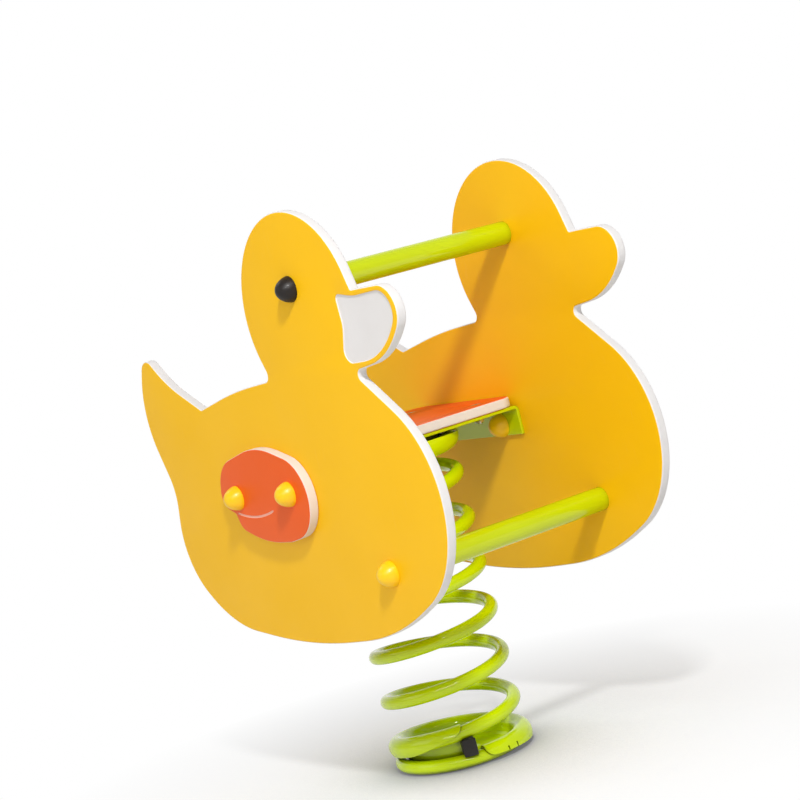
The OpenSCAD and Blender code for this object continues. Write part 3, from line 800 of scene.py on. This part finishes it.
def wire(name, t0, t1):
    """A stretch of the wire, chamfered where it is a true end."""
    steps = round((t1 - t0) * RINGS_PER_TURN)
    rings = [wire_ring(t0 + (t1 - t0) * k / steps, WIRE_R) for k in range(steps + 1)]
    if t0 == 0:
        rings[:1] = [wire_ring(0, WIRE_R - WIRE_CHAMFER), wire_ring(0, WIRE_R, WIRE_CHAMFER)]
    if t1 == TURNS:
        rings[-1:] = [wire_ring(TURNS, WIRE_R, -WIRE_CHAMFER), wire_ring(TURNS, WIRE_R - WIRE_CHAMFER)]
    verts = [p for ring in rings for p in ring]
    faces = quads(len(rings), WIRE_SIDES) + end_faces(len(rings), WIRE_SIDES)
    return make(name, verts, faces, [SPRING_GREEN], sharp=WIRE_SHARP_ANGLE)


lower_wire = wire("spring_wire_lower", 0, TURNS / 2)
upper_wire = wire("spring_wire_upper", TURNS / 2, TURNS)
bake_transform(lower_wire)
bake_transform(upper_wire)
for piece in (lower_wire, upper_wire):
    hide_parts("spring")


# Clamps and stop blocks are made for the lower end of the spring and turned over for the upper one

OVER_ANGLE = math.radians(START + 180 * TURNS)
TURN_OVER = Matrix.Rotation(math.pi, 4, Vector((math.cos(OVER_ANGLE), math.sin(OVER_ANGLE), 0)))


def to_lower(x, y, z):
    """Leaves a point at the lower end of the spring."""
    return (x, y, z)


def to_upper(x, y, z):
    """Turns a point over to the upper end of the spring."""
    p = TURN_OVER @ Vector((x, y, z))
    return (p.x, p.y, p.z + SPRING_H)


def at_clamp_bolt(k, where, base=0.0):
    """Placer round bolt k of a clamp."""
    a = math.radians(START + CLAMP_BOLT_ANGLE + 360 / CLAMP_BOLTS * k)
    x, y = CLAMP_BOLT_R * math.cos(a), CLAMP_BOLT_R * math.sin(a)
    return lambda dx, dy, h: where(x + dx, y + dy, base + h)


def block_across(name, t, profile, width, where, material):
    """A block across the wire at turn t; its profile is (radius, height) pairs."""
    a = math.radians(START + 360 * t)
    verts = [where(r * math.cos(a) - w * math.sin(a), r * math.sin(a) + w * math.cos(a), h)
             for w in (-width / 2, width / 2) for r, h in profile]
    faces = quads(2, len(profile)) + end_faces(2, len(profile))
    return make(name, verts, faces, [material])


# Pressed rim of a clamp: turns of the wire at which it starts and ends
RIM_FROM, RIM_TO = RIM_START / 360, (RIM_START + RIM_SWEEP) / 360
RIM_OUT = 14  # about how far its free edge lies from the middle of the wire
RIM_FOOT = 2  # height at which its inner wall ends in the dish
# Angles round the wire, in degrees, at which its free edge lies, and the turns over which it changes
EDGE_AT_START, EDGE_FALL, EDGE_FALL_TURNS = 4, 54, 0.3
EDGE_RISE, EDGE_RISE_TURNS = 63, 0.134
CORNER_R = 14  # rounding of the free edge at the start and the tip
FLARE, FLARE_STEPS = 1.3, 5  # how far the free edge stands off, and the steps of the arc that it takes
THINNER, THINNER_TURNS = 0.45, 0.1  # share of the sheet that is lost at the tip, and over how many turns
RIM_STEPS = 22  # steps of the arc over the wire
LIP_STEPS, LIP_DEPTH = 6, 0.6  # rounding of the free edge; its depth is a share of half the sheet
FINE_TURN, FINE_STEPS, COARSE_STEPS = 0.001, 22, 96
CLAMP_SHARP_ANGLE = 38
# Slits in the rim: turns from its start, width, radii and heights from the middle of the wire
SLITS_AT = (0.055, 0.082)
SLIT_W = 2.6
SLIT_R = (97.1, 111.0)
SLIT_H = (-14.0, 4.0)


def rim_turns():
    """Turns at which the rim has its rings, close together at its rounded ends."""
    fine = [FINE_TURN * k for k in range(FINE_STEPS + 1)]
    first = RIM_FROM + fine[-1]
    length = RIM_TO - FINE_TURN - fine[-1] - first
    coarse = [first + length * k / COARSE_STEPS for k in range(1, COARSE_STEPS + 1)]
    return [RIM_FROM + d for d in fine] + coarse + [RIM_TO - d for d in reversed(fine)]


def rim_edge(t):
    """Angle round the wire, upwards from straight out, at which the rim's free edge lies at turn t."""
    from_start, to_tip = t - RIM_FROM, RIM_TO - t
    edge = EDGE_AT_START - EDGE_FALL * min(1, from_start / EDGE_FALL_TURNS)
    edge += EDGE_RISE * max(0, 1 - to_tip / EDGE_RISE_TURNS)
    for turns in (from_start, to_tip):
        d = turns * 2 * math.pi * (COIL_R + RIM_OUT)
        if d < CORNER_R:
            rise = CORNER_R * (1 - math.sqrt(max(0, 1 - (1 - d / CORNER_R) ** 2)))
            edge += math.degrees(rise / RIM_OUT)
    return edge


def rim_arc(t, from_wire):
    """Points (radius, height) over the wire at turn t, from the flared free edge to the inner side."""
    edge, z = rim_edge(t), wire_z(t)
    points = []
    for k in range(RIM_STEPS + 1):
        s = math.radians(edge + (180 - edge) * k / RIM_STEPS)
        r = from_wire + FLARE * max(0, 1 - k / FLARE_STEPS) ** 2
        points.append((COIL_R + r * math.cos(s), z + r * math.sin(s)))
    return points


def rim_profile(t):
    """Closed profile (radius, height) of the rim at turn t: outer arc, foot, inner arc, free edge."""
    under = WIRE_R + RIM_FIT
    over = under + CLAMP_T * (1 - THINNER * max(0, 1 - (RIM_TO - t) / THINNER_TURNS))
    foot = [(COIL_R - over, RIM_FOOT), (COIL_R - under, RIM_FOOT)]
    half = (over - under) / 2
    s = math.radians(rim_edge(t))
    r = under + half + FLARE
    lip = []
    for k in range(1, LIP_STEPS):
        q = math.pi * k / LIP_STEPS
        radial, down = r - half * math.cos(q), LIP_DEPTH * half * math.sin(q)
        lip.append((COIL_R + radial * math.cos(s) + down * math.sin(s),
                    wire_z(t) + radial * math.sin(s) - down * math.cos(s)))
    return rim_arc(t, over) + foot + rim_arc(t, under)[::-1] + lip


def rim_end(first, m):
    """Faces that close the rim at one end: a strip between its two arcs and the rounded free edge."""
    inner = 2 * RIM_STEPS + 3
    faces = []
    for k in range(RIM_STEPS + 1):
        faces.append([first + k, first + k + 1, first + inner - k - 1, first + inner - k])
    faces.append([first] + [first + i for i in range(m - 1, inner - 1, -1)])
    return faces


def rim_shape(name, where):
    """The rim that follows the wire, from its start to its tip."""
    verts, turns = [], rim_turns()
    for t in turns:
        a = math.radians(START + 360 * t)
        profile = rim_profile(t)
        verts += [where(r * math.cos(a), r * math.sin(a), h) for r, h in profile]
    m = len(profile)
    faces = quads(len(turns), m) + rim_end(0, m) + rim_end((len(turns) - 1) * m, m)
    return make(name, verts, faces, [SPRING_GREEN], sharp=CLAMP_SHARP_ANGLE)


# Dish of a clamp: outer radius of its floor, and outer radius and height of the wall inside the rim
DISH_R = 80
WALL_R, WALL_H = 78.4, 16
BOWL_SPREAD = 1.5  # how much further the foot of the bowl reaches in
FLOOR_RING_R = 60  # a ring of points on the floor inside the bowl
DISH_SIDES, HOLE_SIDES = 120, 40
HOLE_SPARE = 2  # how far the tool for a hole passes each face of the floor


def dish_profile():
    """Closed profile (radius, height): floor with rounded edges, wall, and the bowl between them."""
    steps = 12
    profile = [(CENTRE_HOLE_R + 0.6, 0.0), (DISH_R - 1.2, 0.0), (DISH_R - 0.3, 0.5), (DISH_R, 1.2),
               (DISH_R, CLAMP_T - 0.8), (DISH_R - 0.4, CLAMP_T - 0.1), (DISH_R - 1.1, CLAMP_T),
               (WALL_R, CLAMP_T + 0.4), (WALL_R, WALL_H - 0.6), (WALL_R - 0.5, WALL_H),
               (WALL_R - 0.8, WALL_H)]
    for k in range(steps + 1):
        a = math.pi / 2 * k / steps
        spread = BOWL_W * (1 - math.cos(a)) + BOWL_SPREAD * (k / steps) ** 2
        profile.append((WALL_R - 1 - spread, WALL_H - BOWL_H * math.sin(a)))
    profile += [(FLOOR_RING_R, CLAMP_T), (CENTRE_HOLE_R + 1, CLAMP_T),
                (CENTRE_HOLE_R + 0.2, CLAMP_T - 0.4), (CENTRE_HOLE_R, CLAMP_T - 1), (CENTRE_HOLE_R, 0.6)]
    return profile


def clamp(name, node, body, hole_r, where):
    """Rim and dish in one, with bolt holes in the floor and slits in the rim."""
    clamp_piece = rim_shape(name, where)
    verts, faces = lathe(dish_profile(), DISH_SIDES, where)
    carve(clamp_piece, make("dish", verts, faces, [SPRING_GREEN]), "UNION")
    hole = [(hole_r, -HOLE_SPARE), (hole_r, CLAMP_T + HOLE_SPARE)]
    for k in range(CLAMP_BOLTS):
        verts, faces = lathe(hole, HOLE_SIDES, at_clamp_bolt(k, where), closed=False)
        faces += end_faces(len(hole), HOLE_SIDES)
        carve(clamp_piece, make("hole", verts, faces, [SPRING_GREEN]))
    for turn in SLITS_AT:
        t = RIM_FROM + turn
        low, high = wire_z(t) + SLIT_H[0], wire_z(t) + SLIT_H[1]
        profile = [(SLIT_R[0], low), (SLIT_R[1], low), (SLIT_R[1], high), (SLIT_R[0], high)]
        carve(clamp_piece, block_across("slit", t, profile, SLIT_W, where, SPRING_GREEN))
    clamp_piece.data.set_sharp_from_angle(angle=math.radians(CLAMP_SHARP_ANGLE))
    put(clamp_piece, body, "green_paint", node)


clamp("lower_clamp_dish", "lower_clamp", "base", GROUND_HOLE_R, to_lower)
clamp("upper_clamp_dish", "upper_clamp", "rider", STUD_HOLE_R, to_upper)


# Stop blocks

STOP_LIP_H = 2.5  # how far the lip of a stop block overlaps each turn
STOP_SOFT = 1.2  # rounding of its edges


def stop(name, node, body, where):
    """Rubber block between the first two turns, with a lip outside the wire."""
    low = wire_z(STOP_AT) + WIRE_R + SEAT_FIT
    high = wire_z(STOP_AT + 1) - WIRE_R - SEAT_FIT - wire_slope(STOP_AT + 1) * STOP_W / 2
    inner_r = COIL_R - WIRE_R
    lip_in = COIL_R + WIRE_R + SEAT_FIT
    lip_out = lip_in + STOP_LIP
    profile = [(inner_r, low), (lip_in, low), (lip_in, low - STOP_LIP_H), (lip_out, low - STOP_LIP_H),
               (lip_out, high + STOP_LIP_H), (lip_in, high + STOP_LIP_H), (lip_in, high), (inner_r, high)]
    block = block_across(name, STOP_AT, profile, STOP_W, where, STOP_BLACK)
    soften(block, STOP_SOFT)
    put(block, body, "stop_black", node)


stop("lower_stop_block", "lower_stop", "base", to_lower)
stop("upper_stop_block", "upper_stop", "rider", to_upper)


# Fasteners that show under the seat and on it

STUD_R, STUD_LENGTH, STUD_PITCH = 6, 18.5, 1.75
CLAMP_NUT_R, CLAMP_NUT_BORE, CLAMP_NUT_H = 11.4, 6.1, 9.6
WASHER_R, WASHER_T = 12, 2.4
SEAT_NUT_R, SEAT_NUT_BORE, SEAT_NUT_H = 7.6, 4.1, 6.4
SEAT_BOLT_R, SEAT_BOLT_LENGTH, SEAT_BOLT_HEAD_R, SEAT_BOLT_HEAD_H = 4, 28.3, 8.25, 4.4
SEAT_BOLT_SUNK = 0.3  # how far its head lies below the seat
SOCKET_R, SOCKET_DEPTH = 2.75, 3  # hexagon socket, measured to its flats


def hexagon(a):
    """How far a hexagon reaches at an angle, when its flats are 1 from its middle."""
    return 1 / math.cos((a + math.pi / 6) % (math.pi / 3) - math.pi / 6)


def hex_nut(place, corner_r, bore, h):
    """Hexagon nut with rounded-off corners and a countersunk bore."""
    n, sink = 60, 0.8
    flat_r = corner_r * math.cos(math.pi / 6)
    # (radius, height, six-sided) of the lower half, from the bore outwards
    half = [(bore, sink, False), (bore + sink, 0.0, False), (0.96 * flat_r, 0.0, False),
            (1.02 * flat_r, 0.35, True), (corner_r, 1.4, True)]
    levels = half + [(r, h - z, six_sided) for r, z, six_sided in reversed(half)]
    verts = []
    for r, z, six_sided in levels:
        for k in range(n):
            a = 2 * math.pi * k / n
            q = min(flat_r * hexagon(a), r) if six_sided else r
            verts.append(place(q * math.cos(a), q * math.sin(a), z))
    return verts, quads(len(levels), n, closed=True)


def washer(place):
    """Flat washer that lies on the clamp's floor."""
    low, high = CLAMP_T, CLAMP_T + WASHER_T
    profile = [(STUD_HOLE_R, low), (WASHER_R - 0.4, low), (WASHER_R, low + 0.3), (WASHER_R, high - 0.3),
               (WASHER_R - 0.3, high), (STUD_HOLE_R, high)]
    return lathe(profile, 56, place)


def stud(place):
    """Round rod with thread ridges and a chamfered free end."""
    chamfer, tip_r = 1.2, 0.01
    core_r = STUD_R - 0.3 * STUD_PITCH
    profile = [(tip_r, 0.0), (STUD_R, 0.0)]
    z = STUD_PITCH
    while z < STUD_LENGTH - 2 * STUD_PITCH:
        profile += [(STUD_R, z), (core_r, z + 0.35 * STUD_PITCH), (core_r, z + 0.5 * STUD_PITCH),
                    (STUD_R, z + 0.85 * STUD_PITCH)]
        z += STUD_PITCH
    profile += [(STUD_R, STUD_LENGTH - chamfer), (STUD_R - chamfer, STUD_LENGTH), (tip_r, STUD_LENGTH)]
    return lathe(profile, 40, place, closed=False)


def seat_bolt(place):
    """Countersunk bolt with a hexagon socket."""
    n, top = 48, SEAT_TOP - SEAT_BOLT_SUNK
    # (radius, height, six-sided) from the free end, over the head and into the socket
    rings = [(SEAT_BOLT_R, top - SEAT_BOLT_LENGTH, False), (SEAT_BOLT_R, top - SEAT_BOLT_HEAD_H, False),
             (SEAT_BOLT_HEAD_R, top - 0.25, False), (SEAT_BOLT_HEAD_R - 0.15, top, False),
             (SOCKET_R + 0.15, top, True), (SOCKET_R, top - 0.3, True),
             (SOCKET_R, top - SOCKET_DEPTH, True)]
    verts = []
    for r, z, six_sided in rings:
        for k in range(n):
            a = 2 * math.pi * k / n
            q = r * hexagon(a) if six_sided else r
            verts.append(place(q * math.cos(a), q * math.sin(a), z))
    return verts, quads(len(rings), n) + end_faces(len(rings), n)


def clamp_nut(k):
    place = at_clamp_bolt(k, to_upper, CLAMP_T + WASHER_T)
    return hex_nut(place, CLAMP_NUT_R, CLAMP_NUT_BORE, CLAMP_NUT_H)


def seat_nut(bolt):
    place = at_seat(bolt, SEAT_LOW - FRAME_T - SEAT_NUT_H)
    return hex_nut(place, SEAT_NUT_R, SEAT_NUT_BORE, SEAT_NUT_H)


def steel_set(name, shapes, node):
    """One piece with all the fasteners of a kind."""
    put(several(name, shapes, [STEEL]), "rider", "steel", node)


stud_places = [at_clamp_bolt(k, to_upper) for k in range(CLAMP_BOLTS)]
steel_set("clamp_nut_set", [clamp_nut(k) for k in range(CLAMP_BOLTS)], "clamp_nuts")
steel_set("clamp_washer_set", [washer(place) for place in stud_places], "clamp_washers")
steel_set("clamp_stud_set", [stud(place) for place in stud_places], "clamp_studs")
steel_set("seat_nut_set", [seat_nut(bolt) for bolt in SEAT_BOLTS], "seat_nuts")
steel_set("seat_bolt_set", [seat_bolt(at_seat(bolt)) for bolt in SEAT_BOLTS], "seat_bolts")


# CAD nodes that stay get the same materials

KEPT_NODES = [
    (STEEL, ["handle_bar_plugs", "handle_bolts", "foot_bar_plugs", "foot_bolts"]),
    (STEEL, ["frame_bolts", "frame_nuts"]),
    (CAP_BLACK, ["eye_cap_cups"]),
    (CAP_YELLOW, ["foot_cap_cups", "wing_cap_cups", "nut_cap_cups"]),
]
for material, names in KEPT_NODES:
    for name in names:
        mesh = nodes[name].data
        mesh.materials.clear()
        mesh.materials.append(material)


# Floor

FLOOR_HALF = 30
WHITE = (1, 1, 1, 1)


def floor_material():
    """White to the camera and to gloss, with the cast shadow and a painted shadow near the object; pale
    grey to other rays.
    """
    m = bpy.data.materials.new("pale_floor")
    t = Nodes(m)
    path = t.add("ShaderNodeLightPath")
    mirrored = t.math("MAXIMUM", path.outputs["Is Glossy Ray"], path.outputs["Is Transmission Ray"])
    seen = t.math("MAXIMUM", path.outputs["Is Camera Ray"], mirrored)
    # Painted shadow: to the camera and to gloss, the floor's colour and glow darken where the object
    # closes it in
    shade = t.mix(t.span(t.openness(0.4, 16), 0.45, 0.9, 1.0, 0.0), WHITE, (0.5, 0.5, 0.53, 1))
    lit = t.add("ShaderNodeBsdfDiffuse")
    t.set(lit, Color=t.mix(seen, (0.84, 0.84, 0.84, 1), shade))
    glow = t.add("ShaderNodeEmission")
    t.set(glow, Color=shade)
    from_object = t.add("ShaderNodeVectorMath", operation="LENGTH")
    t.feed(from_object.inputs[0], t.add("ShaderNodeTexCoord").outputs["Object"])
    away = t.span(from_object.outputs["Value"], 0.1, 0.75, 0.25, 1.0)
    mixed = t.add("ShaderNodeMixShader")
    t.feed(mixed.inputs[0], t.math("MULTIPLY", seen, away))
    t.feed(mixed.inputs[1], lit.outputs[0])
    t.feed(mixed.inputs[2], glow.outputs[0])
    t.set(t.add("ShaderNodeOutputMaterial"), Surface=mixed.outputs[0])
    return m


def studio_floor():
    corners = [(x * FLOOR_HALF, y * FLOOR_HALF, 0) for x, y in ((-1, -1), (1, -1), (1, 1), (-1, 1))]
    mesh = bpy.data.meshes.new("floor")
    mesh.from_pydata(corners, [], [[0, 1, 2, 3]])
    mesh.materials.append(floor_material())
    floor = bpy.data.objects.new("floor", mesh)
    bpy.context.scene.collection.objects.link(floor)


studio_floor()


# Light

BACKDROP_DIRECTION = (-0.84, 0.545, 0.0)
STUDIO_STRENGTH = 0.4
AIM = (0.03, 0, 0.45)  # point on the object that the lamps shine at


def studio_world():
    """White to the camera; gloss mirrors white where the backdrop stands and a dimmer studio elsewhere."""
    world = bpy.data.worlds.new("studio")
    t = Nodes(world)
    path = t.add("ShaderNodeLightPath")
    facing = t.add("ShaderNodeVectorMath", operation="DOT_PRODUCT")
    t.feed(facing.inputs[0], t.add("ShaderNodeTexCoord").outputs["Generated"])
    t.feed(facing.inputs[1], BACKDROP_DIRECTION)
    backdrop = t.span(facing.outputs["Value"], 0.45, 0.8, 0.0, 1.0)
    mirrored = t.math("MAXIMUM", path.outputs["Is Glossy Ray"], path.outputs["Is Transmission Ray"])
    seen = t.math("MAXIMUM", path.outputs["Is Camera Ray"], t.math("MULTIPLY", mirrored, backdrop))
    back = t.add("ShaderNodeBackground")
    t.set(back, Color=WHITE, Strength=t.span(seen, 0.0, 1.0, STUDIO_STRENGTH, 1.0))
    t.set(t.add("ShaderNodeOutputWorld"), Surface=back.outputs[0])
    bpy.context.scene.world = world


def area(name, towards, distance, size, power):
    """Rectangular lamp that stands in a direction from the object and shines at it."""
    data = bpy.data.lights.new(name, "AREA")
    data.shape = "RECTANGLE"
    data.size, data.size_y = size
    data.energy = power
    light = bpy.data.objects.new(name, data)
    d = Vector(towards).normalized()
    light.location = Vector(AIM) + d * distance
    light.rotation_euler = d.to_track_quat("Z", "Y").to_euler()
    bpy.context.scene.collection.objects.link(light)
    return light


studio_world()
area("key", towards=(1.9, -1.0, 1.85), distance=3.4, size=(0.3, 0.3), power=72)
area("fill", towards=(-0.6, -2.2, 0.9), distance=3.6, size=(2.4, 1.8), power=14)
area("strip", towards=(0.68, -0.59, 0.44), distance=3.3, size=(2.4, 0.08), power=13)
# A thin line of light that shows only in gloss
gloss_line = area("gloss_line", towards=(0.68, -0.59, 0.44), distance=3.25, size=(2.4, 0.05), power=14)
gloss_line.visible_diffuse = False
area("back_spark", towards=(-0.66, -0.24, 0.71), distance=3.2, size=(0.26, 0.26), power=6)


# Camera, matched to the photo: its place, its turn about Z, its height angle and its roll

EYE = (2.645, -1.698, 0.759)
EYE_TURN, EYE_RISE, EYE_ROLL = math.radians(56.66), math.radians(4.31), math.radians(-14.18)
FOCAL_PIXELS, IMAGE_WIDTH = 2199, 800
SENSOR_WIDTH = 36


def photo_camera():
    level = math.cos(EYE_RISE)
    right = Vector((math.cos(EYE_TURN), math.sin(EYE_TURN), 0))
    away = Vector((math.sin(EYE_TURN) * level, -math.cos(EYE_TURN) * level, math.sin(EYE_RISE)))
    up = away.cross(right)
    rolled_right = math.cos(EYE_ROLL) * right + math.sin(EYE_ROLL) * up
    rolled_up = math.cos(EYE_ROLL) * up - math.sin(EYE_ROLL) * right
    axes = Matrix((rolled_right, rolled_up, away)).transposed()
    data = bpy.data.cameras.new("camera")
    data.sensor_width = SENSOR_WIDTH
    data.lens = FOCAL_PIXELS * SENSOR_WIDTH / IMAGE_WIDTH
    camera = bpy.data.objects.new("camera", data)
    camera.matrix_world = Matrix.Translation(EYE) @ axes.to_4x4()
    bpy.context.scene.collection.objects.link(camera)
    bpy.context.scene.camera = camera


photo_camera()
bpy.context.scene.view_settings.view_transform = "Standard"
